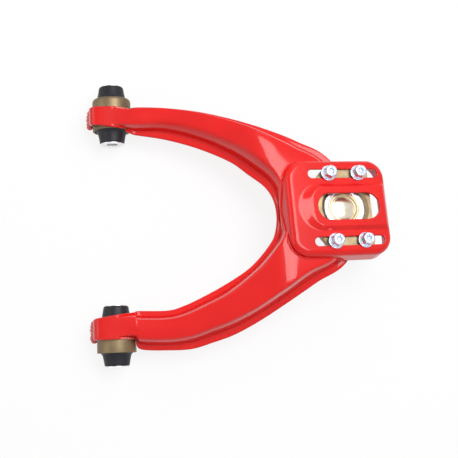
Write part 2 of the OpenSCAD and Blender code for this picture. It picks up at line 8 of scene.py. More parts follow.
import bpy
import numpy as np
from mathutils import Matrix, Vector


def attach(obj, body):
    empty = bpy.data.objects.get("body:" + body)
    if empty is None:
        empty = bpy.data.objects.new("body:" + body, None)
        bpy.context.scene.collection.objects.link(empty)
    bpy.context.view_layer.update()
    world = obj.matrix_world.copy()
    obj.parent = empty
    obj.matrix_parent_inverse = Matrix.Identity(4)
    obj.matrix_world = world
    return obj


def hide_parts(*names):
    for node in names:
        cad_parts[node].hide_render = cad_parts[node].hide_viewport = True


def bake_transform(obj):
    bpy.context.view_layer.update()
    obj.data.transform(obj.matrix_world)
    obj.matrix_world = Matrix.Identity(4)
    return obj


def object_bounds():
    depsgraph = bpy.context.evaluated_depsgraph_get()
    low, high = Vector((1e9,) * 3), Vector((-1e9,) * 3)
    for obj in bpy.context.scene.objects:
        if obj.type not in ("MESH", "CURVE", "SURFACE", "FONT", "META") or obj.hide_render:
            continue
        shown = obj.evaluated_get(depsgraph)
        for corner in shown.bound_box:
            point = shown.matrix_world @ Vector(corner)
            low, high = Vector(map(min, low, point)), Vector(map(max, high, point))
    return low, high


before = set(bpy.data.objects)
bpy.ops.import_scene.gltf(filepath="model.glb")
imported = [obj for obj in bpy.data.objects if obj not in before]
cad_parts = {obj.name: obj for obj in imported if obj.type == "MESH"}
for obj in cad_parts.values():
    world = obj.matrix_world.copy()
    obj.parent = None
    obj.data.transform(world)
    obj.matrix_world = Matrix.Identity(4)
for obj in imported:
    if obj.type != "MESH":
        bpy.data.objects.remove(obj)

bl_info = {
    "name": "Adjustable control arm",
    "version": (1, 0, 0),
    "blender": (4, 5, 0),
    "location": "3D View > Sidebar > Control arm",
    "description": "Builds the visible pieces of an adjustable upper control arm",
    "category": "Object",
}

MM = 0.001
CAD_BOX = [list(corner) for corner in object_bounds()]

# Plan outline of the pressing: outer lip x, y, inner lip x, y, run of the outer and of the inner flange
STATIONS = np.array([
    [0, 107.5, 0, 90, 2, 2], [15, 108, 15, 87, 3, 4], [24, 110, 22, 85, 4, 6], [52, 108.5, 50, 79.5, 4, 12],
    [84, 103.5, 80, 69.5, 6, 13], [118, 94, 109, 55, 9, 12], [147, 83, 126, 41, 11.5, 12.5],
    [173, 70.5, 140.5, 28, 12, 11], [203, 52, 148, 14, 12, 8], [236, 2, 150, -2, 10, 7],
    [213, -43, 147.5, -18, 12, 6], [185, -61, 142, -28, 13, 5], [160, -77, 132, -40, 12, 5],
    [132, -94, 120, -50.5, 12, 6], [108, -106, 100, -62.5, 12.5, 9], [88, -112.5, 80, -72.5, 12, 8.5],
    [69, -117.5, 63.5, -79.5, 11, 8.5], [48, -118, 48, -83.5, 9, 8], [22, -116, 21, -83, 8.5, 8],
    [17, -107.5, 17, -84, 3, 4],
    [0, -106.5, 0, -86.5, 2, 2]], float)
BUSH_Y = 104.0
SADDLE_R = 18.05          # radius of the shell with the gap that the weld bridges
TONGUE_TOP = 21.0         # height of the tongues' tops above the bush axis
TONGUE_RUN_IN = 6.0       # how far a tongue's inner edge runs in on its way round
LIP_LEVEL = 6.0           # height of the lips near the bushes
SKIRT_RUN = 22.0          # distance from the bush axis at which the flanges reach full depth
CROWN_DROP = 9.0          # depth of the crown below the slotted face
LIP_DROP = 23.0           # least depth of the lips below the slotted face
CROWN_RISE = 0.0016       # climb of the crown with the square of x
OUTER_LIP_RISE = 0.0006   # climb of the outer lip with the square of x
INNER_LIP_RISE = 0.0012   # climb of the inner lip with the square of x

# The slotted face's frame
PLATE_AT = np.array([211.0, 4.0, 50.0])
PLATE_TURN = np.array(Matrix.Rotation(math.radians(-5), 3, "X") @ Matrix.Rotation(math.radians(10.5), 3, "Y")
                      @ Matrix.Rotation(math.radians(2.5), 3, "Z"))
BOX_HALF = np.array([49.0, 44.5])
BOX_BACK = 7.0
BOX_CORNER = 17.0
BOX_ROUND = 6
BOX_SPREAD = 1.5
BOX_FOOT = -20.0
SLOT_SIDE = 31.5          # distance of a slot's middle from the window's
SLOT_LENGTH = 68.0
SLOT_WIDTH = 8.0
BOLT_ALONG = 14.5         # half the distance between two bolts in a slot

# The camera's place, its side, up and back directions as columns, and the floor's own light
CAMERA_AT = (0.013925, -0.128476, 0.886788)
CAMERA_TURN = ((0.994217, 0.024640, -0.104528), (-0.038728, 0.990092, -0.134973),
               (0.100166, 0.138240, 0.985320))
FLOOR_GLOW = 0.86


# ---------------------------------------------------------------- frames and shapes

def from_plate(points):
    """Plate coordinates (u, v, h) turned and moved into the row frame."""
    return PLATE_AT + points @ PLATE_TURN.T


def to_plate(points):
    """Row-frame points as plate coordinates (u, v, h)."""
    return (points - PLATE_AT) @ PLATE_TURN


def unit(vectors):
    """Each vector divided by its length."""
    return vectors/np.maximum(np.linalg.norm(vectors, axis=-1, keepdims=True), 1e-9)


def ease(x):
    """0 below 0, 1 above 1, and 3x^2 - 2x^3 between."""
    x = np.clip(x, 0, 1)
    return x*x*(3 - 2*x)


def waves(points, length, seed, octaves=3):
    """Smooth uneven height in -1..1: a sum of sines along seeded directions.

    Each octave is half as long and half as high as the one before."""
    rng = np.random.default_rng(seed)
    total, weight = 0.0, 0.0
    for k in range(octaves):
        for _ in range(5):
            way = unit(rng.normal(size=3))
            total = total + 0.5**k*np.sin(points @ way*(2*math.pi*2**k/length) + rng.uniform(0, 6.28))
            weight += 0.5**k
    return 2*total/weight


def draft(h):
    """Inset of the housing's outline at height h: 0 down to the rounding's foot, then falling to the rim."""
    return BOX_SPREAD*np.minimum(0, h + BOX_ROUND)/(-BOX_FOOT - BOX_ROUND)


def box_reach(u, v, inset):
    """Signed distance from the housing's outline drawn in by inset, with the nearest point on it.

    Outside is positive. The outline is a rectangle with corners of radius BOX_CORNER - inset."""
    core = BOX_HALF - BOX_CORNER
    radius = BOX_CORNER - inset
    sign = np.stack([np.where(u + BOX_BACK >= 0, 1.0, -1.0), np.where(v >= 0, 1.0, -1.0)], -1)
    p = np.stack([np.abs(u + BOX_BACK), np.abs(v)], -1) - core
    along_u = p[..., 0] > p[..., 1]
    axis = np.stack([along_u, ~along_u], -1).astype(float)
    w = np.maximum(p, 0)
    far = np.linalg.norm(w, axis=-1)
    way = np.where((far > 1e-6)[..., None], w/np.maximum(far, 1e-9)[..., None], axis)
    distance = np.where(far > 1e-6, far, p.max(-1)) - radius
    near = sign*(np.minimum(p, 0)*(1 - np.where((far > 1e-6)[..., None], (w > 0), axis)) + core
                 + way*np.asarray(radius)[..., None])
    return distance, near - np.array([BOX_BACK, 0])


def obround_reach(u, v, length, width):
    """Signed distance from an obround about the origin, outside positive, with the nearest point on it."""
    half = (length - width)/2
    spine = np.stack([np.clip(u, -half, half), np.zeros_like(v)], -1)
    out = np.stack([u, v], -1) - spine
    away = np.linalg.norm(out, axis=-1)
    way = np.where((away > 1e-6)[..., None], out/np.maximum(away, 1e-9)[..., None], np.array([0.0, 1.0]))
    return away - width/2, spine + way*width/2


# ---------------------------------------------------------------- meshes

def grid_quads(rows, columns, close_rows=False, close_columns=False):
    """Quads of a grid whose point (i, j) is number i*columns + j, facing columns x rows."""
    i = np.arange(rows if close_rows else rows - 1)[:, None]
    j = np.arange(columns if close_columns else columns - 1)[None, :]
    k, l = (i + 1) % rows, (j + 1) % columns
    return np.stack([i*columns + j, i*columns + l, k*columns + l, k*columns + j], -1).reshape(-1, 4)


def signed_volume(points, faces):
    """Sum of the tetrahedra from the origin to each triangle, positive where the faces point out."""
    total = 0.0
    for block in faces:
        for k in range(1, block.shape[1] - 1):
            a, b, c = points[block[:, 0]], points[block[:, k]], points[block[:, k + 1]]
            total += np.einsum("ij,ij->i", a, np.cross(b, c)).sum()/6
    return total


def make_piece(name, points, faces, material, body, nodes=(), smooth=True):
    """A closed mesh piece from millimetre points and blocks of faces, facing out and riding on a body."""
    faces = [np.asarray(block, np.int64) for block in faces if len(block)]
    if signed_volume(points, faces) < 0:
        faces = [block[:, ::-1] for block in faces]
    mesh = bpy.data.meshes.new(name)
    sizes = np.concatenate([np.full(len(block), block.shape[1]) for block in faces])
    corners = np.concatenate([block.ravel() for block in faces])
    mesh.vertices.add(len(points))
    mesh.vertices.foreach_set("co", (points*MM).astype(np.float32).ravel())
    mesh.loops.add(len(corners))
    mesh.loops.foreach_set("vertex_index", corners.astype(np.int32))
    mesh.polygons.add(len(sizes))
    mesh.polygons.foreach_set("loop_start", np.concatenate([[0], np.cumsum(sizes)[:-1]]).astype(np.int32))
    mesh.polygons.foreach_set("use_smooth", np.full(len(sizes), smooth))
    mesh.update(calc_edges=True)
    mesh.validate()
    mesh.materials.append(material)
    piece = bpy.data.objects.new(name, mesh)
    bpy.context.scene.collection.objects.link(piece)
    if body:
        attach(piece, body)
    if nodes:
        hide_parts(*nodes)
    return piece


def sheet_solid(outer, inner, quads, bulge, segments=5):
    """Two matched skins closed into one sheet. The rim is half an ellipse from skin to skin:
    middle + (outer - middle) cos a + out bulge sin a, where out points away from the free edge."""
    count = len(outer)
    edges = np.concatenate([quads[:, [0, 1]], quads[:, [1, 2]], quads[:, [2, 3]], quads[:, [3, 0]]])
    edges = edges[edges[:, 0] != edges[:, 1]]
    key = edges.min(1)*count + edges.max(1)
    _, first, times = np.unique(key, return_index=True, return_counts=True)
    free = edges[first[times == 1]]
    normal = np.zeros((count, 3))
    facing = np.cross(outer[quads[:, 2]] - outer[quads[:, 0]], outer[quads[:, 3]] - outer[quads[:, 1]])
    for k in range(4):
        np.add.at(normal, quads[:, k], facing)
    normal = unit(normal)
    out = np.zeros((count, 3))
    for side in (0, 1):
        np.add.at(out, free[:, side], np.cross(outer[free[:, 1]] - outer[free[:, 0]], normal[free[:, side]]))
    rim_ids = np.unique(free)
    out = unit(out[rim_ids])
    place = np.full(count, -1)
    place[rim_ids] = np.arange(len(rim_ids))
    middle = (outer[rim_ids] + inner[rim_ids])/2
    across = (outer[rim_ids] - inner[rim_ids])/2
    size = bulge[rim_ids][:, None] if np.ndim(bulge) else bulge
    angles = np.pi*np.arange(1, segments)/segments
    rows = [middle + across*math.cos(a) + out*size*math.sin(a) for a in angles]
    points = np.concatenate([outer, inner] + rows)
    ids = [rim_ids] + [2*count + k*len(rim_ids) + np.arange(len(rim_ids)) for k in range(segments - 1)] \
        + [count + rim_ids]
    a, b = place[free[:, 0]], place[free[:, 1]]
    strips = [np.stack([ids[k][b], ids[k][a], ids[k + 1][a], ids[k + 1][b]], 1) for k in range(segments)]
    quads = np.concatenate([quads, count + quads[:, ::-1]] + strips)
    used = np.unique(quads)
    fresh = np.zeros(len(points), np.int64)
    fresh[used] = np.arange(len(used))
    return points[used], fresh[quads]


def split_thin(quads):
    """Quads with a repeated corner become triangles; the rest stay."""
    same = [quads[:, k] == quads[:, (k + 1) % 4] for k in range(4)]
    thin = np.any(same, axis=0)
    blocks = [quads[~thin]]
    for k in range(4):
        pick = same[k] & ~np.any(same[:k], axis=0) if k else same[0]
        blocks.append(quads[pick][:, [(k + 1) % 4, (k + 2) % 4, (k + 3) % 4]])
    return [block for block in blocks if len(block)]


def spun(radii, heights, columns=96, start_pole=False, end_pole=False, close=False):
    """A profile turned about the third axis: (r cos a, r sin a, h), each r and h a number or one per angle."""
    angle = 2*np.pi*np.arange(columns)/columns
    rows = [np.stack([np.broadcast_to(r, columns)*np.cos(angle), np.broadcast_to(r, columns)*np.sin(angle),
                      np.broadcast_to(h, columns)*1.0], -1) for r, h in zip(radii, heights)]
    points = np.concatenate(rows)
    quads = grid_quads(len(rows), columns, close_rows=close, close_columns=True)
    blocks = [quads]
    ring = np.arange(columns)
    if start_pole:
        points = np.concatenate([points, [rows[0].mean(0)]])
        blocks.append(np.stack([np.full(columns, len(points) - 1), np.roll(ring, -1), ring], 1))
    if end_pole:
        points = np.concatenate([points, [rows[-1].mean(0)]])
        base = (len(rows) - 1)*columns
        blocks.append(np.stack([np.full(columns, len(points) - 1), base + ring, base + np.roll(ring, -1)], 1))
    return points, blocks


def rounded(profile, radius, steps=4):
    """A closed profile with each corner replaced by a quadratic curve.

    The curve starts and ends radius, or the corner's third number, along the two sides, up to 0.45 of each."""
    p = np.array([q[:2] for q in profile], float)
    r = np.array([q[2] if len(q) > 2 else radius for q in profile], float)
    before, after = np.roll(p, 1, 0) - p, np.roll(p, -1, 0) - p
    lb, la = np.linalg.norm(before, axis=1), np.linalg.norm(after, axis=1)
    a = p + before*(np.minimum(r, 0.45*lb)/lb)[:, None]
    b = p + after*(np.minimum(r, 0.45*la)/la)[:, None]
    t = np.linspace(0, 1, steps + 1)[None, :, None]
    return ((1 - t)**2*a[:, None] + 2*t*(1 - t)*p[:, None] + t*t*b[:, None]).reshape(-1, 2)


def turned_piece(profile, radius, columns=128, steps=4):
    """A rounded closed profile of (r, h) turned about the third axis."""
    curve = rounded(profile, radius, steps)
    return spun(curve[:, 0], curve[:, 1], columns, close=True)


def tube(path, radius, sides=14, up=(0, 0, 1)):
    """A round tube along a path: path + radius (side cos a + rise sin a), its ends closed by domes."""
    path = np.asarray(path, float)
    radius = np.broadcast_to(radius, len(path)).astype(float)
    way = unit(np.gradient(path, axis=0))
    dome = np.array([0.0, 0.35, 0.65, 0.87])
    head = np.concatenate([path[0] - way[0]*radius[0]*np.sqrt(1 - dome**2)[:, None], path,
                           (path[-1] + way[-1]*radius[-1]*np.sqrt(1 - dome**2)[:, None])[::-1]])
    dome = np.maximum(dome, 0.02)
    radius = np.concatenate([radius[0]*dome, radius, radius[-1]*dome[::-1]])
    way = np.concatenate([np.repeat(way[:1], 4, 0), way, np.repeat(way[-1:], 4, 0)])
    side = unit(np.cross(np.broadcast_to(np.asarray(up, float), way.shape), way))
    rise = np.cross(way, side)
    a = 2*np.pi*np.arange(sides)/sides
    points = head[:, None] + radius[:, None, None]*(side[:, None]*np.cos(a)[None, :, None]
                                                    + rise[:, None]*np.sin(a)[None, :, None])
    rows = len(head)
    points = np.concatenate([points.reshape(-1, 3), head[:1], head[-1:]])
    ring = np.arange(sides)
    return points, [grid_quads(rows, sides, close_columns=True),
                    np.stack([np.full(sides, rows*sides), np.roll(ring, -1), ring], 1),
                    np.stack([np.full(sides, rows*sides + 1), (rows - 1)*sides + ring,
                              (rows - 1)*sides + np.roll(ring, -1)], 1)]


def joined(parts):
    """Several (points, blocks) as one."""
    points, blocks, base = [], [], 0
    for p, faces in parts:
        points.append(p)
        blocks += [block + base for block in faces]
        base += len(p)
    return np.concatenate(points), blocks


# ---------------------------------------------------------------- shader helpers

class Value:
    """A shader output that takes part in plain arithmetic: an expression on values adds its Math nodes."""

    def __init__(self, graph, socket):
        self.graph = graph
        self.socket = socket

    def math(self, operation, *items, clamp=False):
        node = self.graph.tree.nodes.new("ShaderNodeMath")
        node.operation = operation
        node.use_clamp = clamp
        for slot, item in zip(node.inputs, items):
            self.graph.feed(slot, item)
        return Value(self.graph, node.outputs[0])

    def __add__(self, other):
        return self.math("ADD", self, other)

    def __radd__(self, other):
        return self.math("ADD", other, self)

    def __sub__(self, other):
        return self.math("SUBTRACT", self, other)

    def __rsub__(self, other):
        return self.math("SUBTRACT", other, self)

    def __mul__(self, other):
        return self.math("MULTIPLY", self, other)

    def __rmul__(self, other):
        return self.math("MULTIPLY", other, self)

    def greatest(self, other):
        return self.math("MAXIMUM", self, other)

    def between(self, low, high):
        """0 at low, 1 at high, held outside them."""
        return self.math("MULTIPLY", self - low, 1/(high - low), clamp=True)


class Graph:
    """A material's or world's node tree, with one method that adds any node."""

    def __init__(self, tree):
        self.tree = tree
        tree.nodes.clear()

    def feed(self, socket, item):
        if isinstance(item, Value):
            self.tree.links.new(item.socket, socket)
        else:
            socket.default_value = item

    def add(self, kind, settings=None, inputs=None, output=0):
        node = self.tree.nodes.new(kind)
        for key, item in (settings or {}).items():
            setattr(node, key, item)
        for key, item in (inputs or {}).items():
            self.feed(node.inputs[key], item)
        return Value(self, node.outputs[output]) if len(node.outputs) else None

    def mix(self, factor, a, b):
        """Colour a where factor is 0 and b where it is 1."""
        return self.add("ShaderNodeMix", {"data_type": "RGBA"}, {0: factor, 6: a, 7: b}, 2)

    def noise(self, where, scale, detail=3.0, roughness=0.5):
        return self.add("ShaderNodeTexNoise", {}, {"Vector": where, "Scale": scale, "Detail": detail,
                                                   "Roughness": roughness})

    def bump(self, height, strength, distance):
        return self.add("ShaderNodeBump", {}, {"Height": height, "Strength": strength, "Distance": distance})


def rgb(r, g, b):
    return (r, g, b, 1.0)


def material(name, fill):
    """A new material whose Principled shader takes the values that fill(graph, where) returns."""
    made = bpy.data.materials.new(name)
    made.use_nodes = True
    graph = Graph(made.node_tree)
    where = graph.add("ShaderNodeTexCoord", output="Object")
    surface = graph.add("ShaderNodeBsdfPrincipled", {}, fill(graph, where))
    graph.add("ShaderNodeOutputMaterial", {}, {"Surface": surface})
    return made


def stretched(graph, where, scale):
    return graph.add("ShaderNodeMapping", {}, {"Vector": where, "Scale": scale})


def enamel(graph, where):
    """Gloss red enamel over a stamped sheet: slow tone changes, orange peel, and a few dull specks."""
    colours = bpy.context.scene.arm_finish
    tone = graph.noise(where, 22, 2)
    peel = graph.noise(where, 620, 2)
    wave = graph.noise(where, 55, 2)
    speck = graph.noise(where, 1500, 1).between(0.72, 0.8)
    base = graph.mix(tone.between(0.3, 0.7), (*colours.paint_shade, 1), (*colours.paint, 1))
    return {"Base Color": base, "Roughness": 0.34 + 0.10*tone + 0.2*speck, "Coat Weight": 0.7 - 0.5*speck,
            "Coat Roughness": 0.1, "Coat IOR": 1.42, "Specular IOR Level": 0.1,
            "Normal": graph.bump(0.25*peel + 1.0*wave, 0.25, 0.0006)}


def weld_enamel_with_highlight(graph, where):
    """Enamel over welded metal, with ripples: a painted highlight turns the ripples' crowns pale pink, and the
    pits stay dark in the deep enamel red.
    """
    colours = bpy.context.scene.arm_finish
    lump_and_highlight = graph.noise(where, 260, 4, 0.6)
    # painted highlight: the weld colour on the ripples' crowns, the deep enamel red in the pits
    base = graph.mix(lump_and_highlight.between(0.35, 0.7), (*colours.paint_shade, 1), (*colours.weld, 1))
    return {"Base Color": base, "Roughness": 0.28 + 0.2*lump_and_highlight, "Coat Weight": 0.8, "Coat Roughness": 0.1,
            "Normal": graph.bump(lump_and_highlight, 0.6, 0.0012)}


def plated(base, dark, roughness, grain=900, brushed=(1, 1, 1), depth=0.0002, cloud=60):
    """Zinc plate over steel: cloudy tone, fine grain, and a brushed or turned direction."""
    def fill(graph, where):
        tone = graph.noise(where, cloud, 3)
        fine = graph.noise(stretched(graph, where, brushed), grain, 2)
        mixed = graph.mix(tone.between(0.3, 0.7)*0.7 + fine*0.3, rgb(*dark), rgb(*base))
        return {"Base Color": mixed, "Metallic": 0.9, "Roughness": roughness + 0.16*fine - 0.08 + 0.06*tone,
                "Normal": graph.bump(fine, 0.35, depth)}
    return fill


def turned_steel(base, dark, roughness, axis_scale, pitch=1.0):
    """Steel off the lathe: close rings across the axis, and faint clouds."""
    def fill(graph, where):
        rings = graph.noise(stretched(graph, where, axis_scale), 1400*pitch, 2)
        tone = graph.noise(where, 90, 2)
        mixed = graph.mix(rings.between(0.3, 0.7)*0.6 + tone*0.4, rgb(*dark), rgb(*base))
        return {"Base Color": mixed, "Metallic": 1.0, "Roughness": roughness + 0.14*rings,
                "Normal": graph.bump(rings, 0.2, 0.0001)}
    return fill


def moulded_rubber(graph, where):
    """Black bush rubber: a dusty bloom, soft mottling and fine pores."""
    bloom = graph.noise(where, 70, 3)
    pores = graph.noise(where, 1600, 2)
    base = graph.mix(bloom.between(0.35, 0.75), rgb(0.002, 0.002, 0.005), rgb(0.008, 0.007, 0.014))
    return {"Base Color": base, "Roughness": 0.38 + 0.2*bloom, "Specular IOR Level": 0.35,
            "Normal": graph.bump(pores, 0.15, 0.0003)}


def seat_acetal(graph, where):
    """Natural acetal: off-white with a faint marble."""
    cloud = graph.noise(where, 120, 4)
    return {"Base Color": graph.mix(cloud, rgb(0.68, 0.65, 0.56), rgb(0.8, 0.78, 0.71)),
            "Roughness": 0.4 + 0.1*cloud, "Normal": graph.bump(cloud, 0.05, 0.0002)}


FINISHES = {
    "red enamel": enamel,
    "red weld enamel": weld_enamel_with_highlight,
    "yellow zinc shell": plated((0.25, 0.185, 0.105), (0.13, 0.095, 0.055), 0.45, 700, (1, 0.15, 1)),
    "bush rubber": moulded_rubber,
    "bright sleeve steel": turned_steel((0.86, 0.86, 0.88), (0.7, 0.7, 0.72), 0.24, (1, 0.1, 1)),
    "yellow zinc carrier": plated((0.42, 0.33, 0.19), (0.19, 0.145, 0.085), 0.42, 1500, cloud=120,
                                  depth=0.0004),
    "joint rim steel": turned_steel((0.80, 0.80, 0.87), (0.60, 0.59, 0.66), 0.20, (1, 1, 1)),
    "gold zinc": plated((0.72, 0.55, 0.30), (0.50, 0.37, 0.19), 0.26, 1100),
    "cap steel": plated((0.74, 0.68, 0.56), (0.60, 0.53, 0.42), 0.17, 1200, cloud=140),
    "blue zinc": plated((0.74, 0.80, 0.92), (0.46, 0.53, 0.68), 0.20, 900, cloud=220),
    "spring steel": plated((0.34, 0.34, 0.36), (0.2, 0.2, 0.22), 0.35, 900),
    "seat acetal": seat_acetal,
    "stud steel": turned_steel((0.62, 0.62, 0.64), (0.45, 0.45, 0.47), 0.22, (1, 1, 1)),
    "boot rubber": moulded_rubber,
}


def finish(name):
    """The named finish, made the first time it is asked for."""
    return bpy.data.materials.get(name) or material(name, FINISHES[name])


# ---------------------------------------------------------------- sizes that a user would change

def colour(name, description, default):
    """A colour that the user may change."""
    return bpy.props.FloatVectorProperty(name=name, description=description, subtype="COLOR", size=3,
                                         min=0, max=1, default=default)


class ArmFinish(bpy.types.PropertyGroup):
    """Colours of the painted steel."""
    paint: colour("Enamel", "Red of the enamel in full light", (0.80, 0.005, 0.003))
    paint_shade: colour("Enamel shade", "Deeper red in the enamel's tone", (0.70, 0.003, 0.002))
    # weld: the pale pink of a painted highlight on the weld beads' crowns
    weld: colour("Weld tint", "Paler red on the welds' crowns", (0.82, 0.20, 0.19))


class ArmSizes(bpy.types.PropertyGroup):
    """Sizes of the pressing."""
    sheet: bpy.props.FloatProperty(name="Sheet", description="Thickness of the pressed sheet",
                                   subtype="DISTANCE", unit="LENGTH", default=2.95*MM)
    wrap: bpy.props.FloatProperty(name="Tongue wrap", description="Angle that a tongue runs round its bush",
                                  subtype="ANGLE", unit="ROTATION", default=math.radians(105))
    dome: bpy.props.FloatProperty(name="Crown dome", description="Rise of the crown's middle",
                                  subtype="DISTANCE", unit="LENGTH", default=1.0*MM)


class HousingSizes(bpy.types.PropertyGroup):
    """Sizes of the slotted housing."""
    sheet: bpy.props.FloatProperty(name="Sheet", description="Thickness of the housing's sheet",
                                   subtype="DISTANCE", unit="LENGTH", default=3.0*MM)
    ridge: bpy.props.FloatProperty(name="Ridge", description="Height of the ridge round the window",
                                   subtype="DISTANCE", unit="LENGTH", default=3.0*MM)
    edge: bpy.props.FloatProperty(name="Rolled edge", description="Rounding of the slot and window edges",
                                  subtype="DISTANCE", unit="LENGTH", default=0.7*MM)


class HardwareSizes(bpy.types.PropertyGroup):
    """Sizes of the bolts."""
    hexagon: bpy.props.FloatProperty(name="Hexagon", description="Across-flats size of the heads",
                                     subtype="DISTANCE", unit="LENGTH", default=10.0*MM)
    flange: bpy.props.FloatProperty(name="Flange", description="Radius of flanges and washers",
                                    subtype="DISTANCE", unit="LENGTH", default=7.1*MM)


class StageSizes(bpy.types.PropertyGroup):
    """Camera and light."""
    lens: bpy.props.FloatProperty(name="Lens", description="Focal length on a 36 mm sensor", unit="CAMERA",
                                  default=74.67)
    key: bpy.props.FloatProperty(name="Overhead light", description="Power of the overhead softbox",
                                 unit="POWER", default=12.0)


# ---------------------------------------------------------------- pressing

def station_rows(s):
    """Rows of the station table at s, by a Catmull-Rom curve through them with held ends."""
    i = np.floor(s).astype(int)
    t = (s - i)[:, None]
    a, b, c, d = (STATIONS[np.clip(i + k, 0, len(STATIONS) - 1)] for k in (-1, 0, 1, 2))
    return 0.5*(2*b + (c - a)*t + (2*a - 5*b + 4*c - d)*t**2 + (3*b - a - 3*c + d)*t**3)


def face_height(x, y):
    """Height of the slotted face's plane over a plan point."""
    w = PLATE_TURN[:, 2]
    return PLATE_AT[2] - (w[0]*(x - PLATE_AT[0]) + w[1]*(y - PLATE_AT[1]))/w[2]


def softer_least(a, b):
    """The smaller of two heights, with the crease between them blended over 8."""
    t = np.maximum(8 - np.abs(a - b), 0)/8
    return np.minimum(a, b) - t*t*2


def crown_height(x, y):
    """The tongue's top plus a climb with x^2, held below the slotted face."""
    return softer_least(TONGUE_TOP + CROWN_RISE*x*x, face_height(x, y) - CROWN_DROP)


def lip_height(x, y, rise):
    """The lip's level plus rise x^2, held below the slotted face, and raised to the crown near the bushes."""
    crown = crown_height(x, y)
    low = softer_least(LIP_LEVEL + rise*x*x, face_height(x, y) - LIP_DROP)
    return crown + (low - crown)*ease(x/SKIRT_RUN)


def section_controls(rows, width_cut=0.0, dome=1.0):
    """Control points (distance, height) of each ring's hat section, with the ring's start and direction.

    From the outer lip: flat, fillet, wall, shoulder, domed crown, and the same back down to the inner lip."""
    o, e = rows[:, 0:2], rows[:, 2:4]
    width = np.linalg.norm(e - o, axis=1)
    n = (e - o)/width[:, None]
    width = width - width_cut
    fo, fi = rows[:, 4], rows[:, 5]
    share = np.array([0, 0.36, 0.46, 0.56, 0.66, 0.80, 0.93, 1.0])
    level = np.array([0, 0, 0.03, 0.16, 0.48, 0.78, 0.93, 0.985])
    near = np.minimum(1.5, 0.1*width)
    tip = o + n*width[:, None]
    lip_o = lip_height(o[:, 0], o[:, 1], OUTER_LIP_RISE)
    lip_i = lip_height(tip[:, 0], tip[:, 1], INNER_LIP_RISE)
    d_out = fo[:, None]*share
    mids = [fo + near] + [fo + (width - fo - fi)*k for k in (0.25, 0.5, 0.75)] + [width - fi - near]
    d_mid = np.stack(mids, 1)
    d_in = width[:, None] - fi[:, None]*share[::-1]
    d = np.concatenate([d_out, d_mid, d_in], 1)
    p = o[:, None] + n[:, None]*d[..., None]
    crown = crown_height(p[..., 0], p[..., 1])
    k = (d - fo[:, None])/(width - fo - fi)[:, None]
    bulge = np.clip(4*k*(1 - k), 0, 1)*dome*ease(p[..., 0]/SKIRT_RUN)
    z = crown + bulge
    z[:, :8] = lip_o[:, None] + (crown[:, :8] - lip_o[:, None])*level
    z[:, -8:] = lip_i[:, None] + (crown[:, -8:] - lip_i[:, None])*level[::-1]
    return np.stack([d, z], -1), o, n


def inner_controls(c, t):
    """Controls moved square to the section by t, and kept in order where a bend is tighter than t."""
    e = unit(np.diff(c, axis=1))
    left = np.stack([-e[..., 1], e[..., 0]], -1)
    a = np.concatenate([left, left[:, -1:]], 1)
    b = np.concatenate([left[:, :1], left], 1)
    m = unit(a + b)
    u = c - m*(t/np.maximum((m*b).sum(-1), 0.6))[..., None]
    for i in range(1, u.shape[1]):
        run = ((u[:, i] - u[:, i - 1])*e[:, i - 1]).sum(-1)
        u[:, i] = np.where((run < 0.1)[:, None], u[:, i - 1] + e[:, i - 1]*0.1, u[:, i])
    return u


def corner_rounder(controls, samples):
    """Matrix that turns a row of controls into a curve: a quadratic about each control, between mid-sides."""
    rows = []
    for j in range(controls - 2):
        start, end = np.zeros(controls), np.zeros(controls)
        start[[j, j + 1]] = (1, 0) if j == 0 else (0.5, 0.5)
        end[[j + 1, j + 2]] = (0, 1) if j == controls - 3 else (0.5, 0.5)
        middle = np.eye(controls)[j + 1]
        for t in np.arange(samples)/samples:
            rows.append((1 - t)**2*start + 2*t*(1 - t)*middle + t*t*end)
    rows.append(np.eye(controls)[-1])
    return np.array(rows)


def arm_skins(sheet, wrap, dome, per_station=14, wrap_rings=22, samples=4):
    """Outer and inner skin of the pressing on one grid: sections along the rib, and each end section turned
    about the bush axis by up to the wrap angle, its inner edge running in. The turned sections lie on a
    squarish round instead of a circle: the radius is divided by the fifth root of |cos|^5 + |sin|^5."""
    last = len(STATIONS) - 1
    s = np.linspace(0, last, last*per_station + 1)
    flat = np.zeros_like(s)
    s = np.concatenate([np.zeros(wrap_rings), s, np.full(wrap_rings, float(last))])
    turn = wrap*np.concatenate([np.linspace(1, 0, wrap_rings, endpoint=False), flat,
                                np.linspace(0, 1, wrap_rings + 1)[1:]])
    controls, o, n = section_controls(station_rows(s), TONGUE_RUN_IN*turn/wrap, dome)
    rounder = corner_rounder(controls.shape[1], samples)
    square = (np.abs(np.cos(turn))**5 + np.abs(np.sin(turn))**5)**-0.2
    skins = []
    for c in (controls, inner_controls(controls, sheet)):
        q = np.einsum("kc,rcd->rkd", rounder, c)
        x = o[:, None, 0] + n[:, None, 0]*q[..., 0]
        y = o[:, None, 1] + n[:, None, 1]*q[..., 0]
        z = q[..., 1]
        ca, sa = (square*np.cos(turn))[:, None], (square*np.sin(turn))[:, None]
        skins.append(np.stack([x*ca - z*sa, y, x*sa + z*ca], -1))
    return skins


def bush_clearance(p):
    """Distance outside the bush shell's cylinder, or far outside where the point is past the shell's ends."""
    radial = np.hypot(p[..., 0], p[..., 2]) - SADDLE_R
    return np.where(np.abs(np.abs(p[..., 1]) - BUSH_Y) < 16.5, radial, 99.0)


def onto_bush(p, which):
    """Points moved square to the bush axis onto the shell's cylinder."""
    r = np.maximum(np.hypot(p[..., 0], p[..., 2]), 1e-6)
    moved = np.stack([p[..., 0]*SADDLE_R/r, p[..., 1], p[..., 2]*SADDLE_R/r], -1)
    return np.where(which[..., None], moved, p)


def housing_clearance(p):
    """Distance outside the line in the housing's wall that trims the pressing, and the trimmed point."""
    q = to_plate(p)
    inset = np.where(q[..., 2] > BOX_FOOT, 1.5 + draft(q[..., 2]), 3.0)
    distance, near = box_reach(q[..., 0], q[..., 1], inset)
    return distance, from_plate(np.concatenate([near, q[..., 2:]], -1))


